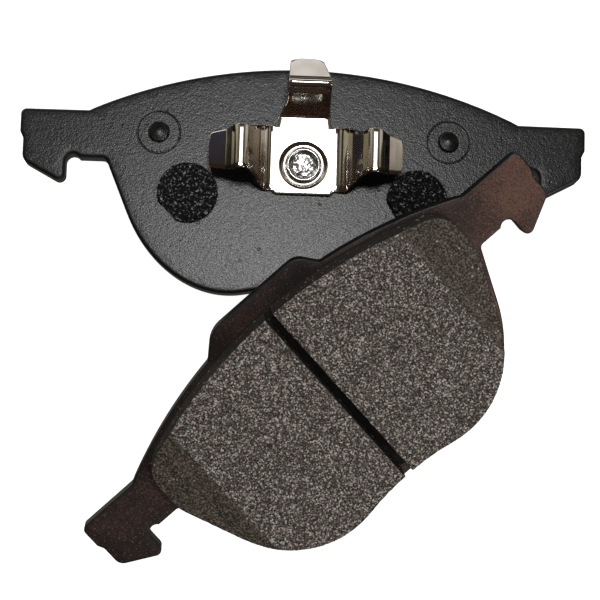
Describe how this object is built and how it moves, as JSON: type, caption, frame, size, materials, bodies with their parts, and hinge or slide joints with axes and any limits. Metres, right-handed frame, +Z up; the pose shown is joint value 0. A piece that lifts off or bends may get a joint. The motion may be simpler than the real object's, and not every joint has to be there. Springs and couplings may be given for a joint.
{
  "type": "disc brake pad pair",
  "caption": "Inner and outer disc brake pads for a floating caliper, one with a spring clip for the piston, one with a locating tab.",
  "frame": {"origin": "middle of the pair's footprint, on the surface that both pads lie on", "axes": "+Z up, away from the surface; +X along the inner pad, ear to ear; +Y towards the inner pad's long outer edge"},
  "size_m": [0.1554, 0.1372, 0.0418],
  "materials": {
    "powder_coated_steel": "satin black-grey powder coat with fine orange peel",
    "primed_steel": "dark red-brown primer with fine sparkle, black side walls",
    "underlayer": "matt dark bonded underlayer",
    "friction_lining": "pressed and ground granular friction compound, grey-brown with light and dark specks",
    "black_felt": "rough black self-adhesive felt",
    "bright_spring_steel": "bright rolled spring steel strip",
    "zinc_plated_rivet": "bright zinc-plated steel, upset rivet head"
  },
  "bodies": {
    "inner_pad": {"inner_backing_plate": "powder_coated_steel", "inner_underlayer": "underlayer", "inner_friction_left": "friction_lining", "inner_friction_right": "friction_lining", "damping_disc_left": "black_felt", "damping_disc_right": "black_felt", "clip_base": "bright_spring_steel", "clip_rivet": "zinc_plated_rivet"},
    "finger_left": {"clip_finger_left": "bright_spring_steel"},
    "finger_right": {"clip_finger_right": "bright_spring_steel"},
    "finger_top": {"clip_finger_top": "bright_spring_steel"},
    "outer_pad": {"outer_backing_plate": "primed_steel", "outer_underlayer": "underlayer", "outer_friction_left": "friction_lining", "outer_friction_right": "friction_lining"}
  },
  "joints": [
    {"name": "outer_pad_lift", "type": "slide", "parent": "inner_pad", "child": "outer_pad", "axis": [0, 0, 1], "range_m": [0, 0.06]},
    {"name": "finger_left_flex", "type": "hinge", "parent": "inner_pad", "child": "finger_left", "pos_m": [-0.00855, 0.04258, 0.0194], "axis": [0, 1, 0], "range_deg": [0, 8], "stiffness_Nm_per_rad": 3.8},
    {"name": "finger_right_flex", "type": "hinge", "parent": "inner_pad", "child": "finger_right", "pos_m": [0.00855, 0.04258, 0.0194], "axis": [0, -1, 0], "range_deg": [0, 8], "stiffness_Nm_per_rad": 3.8},
    {"name": "finger_top_flex", "type": "hinge", "parent": "inner_pad", "child": "finger_top", "pos_m": [0, 0.05112, 0.0194], "axis": [1, 0, 0], "range_deg": [0, 8], "stiffness_Nm_per_rad": 3.8}
  ]
}
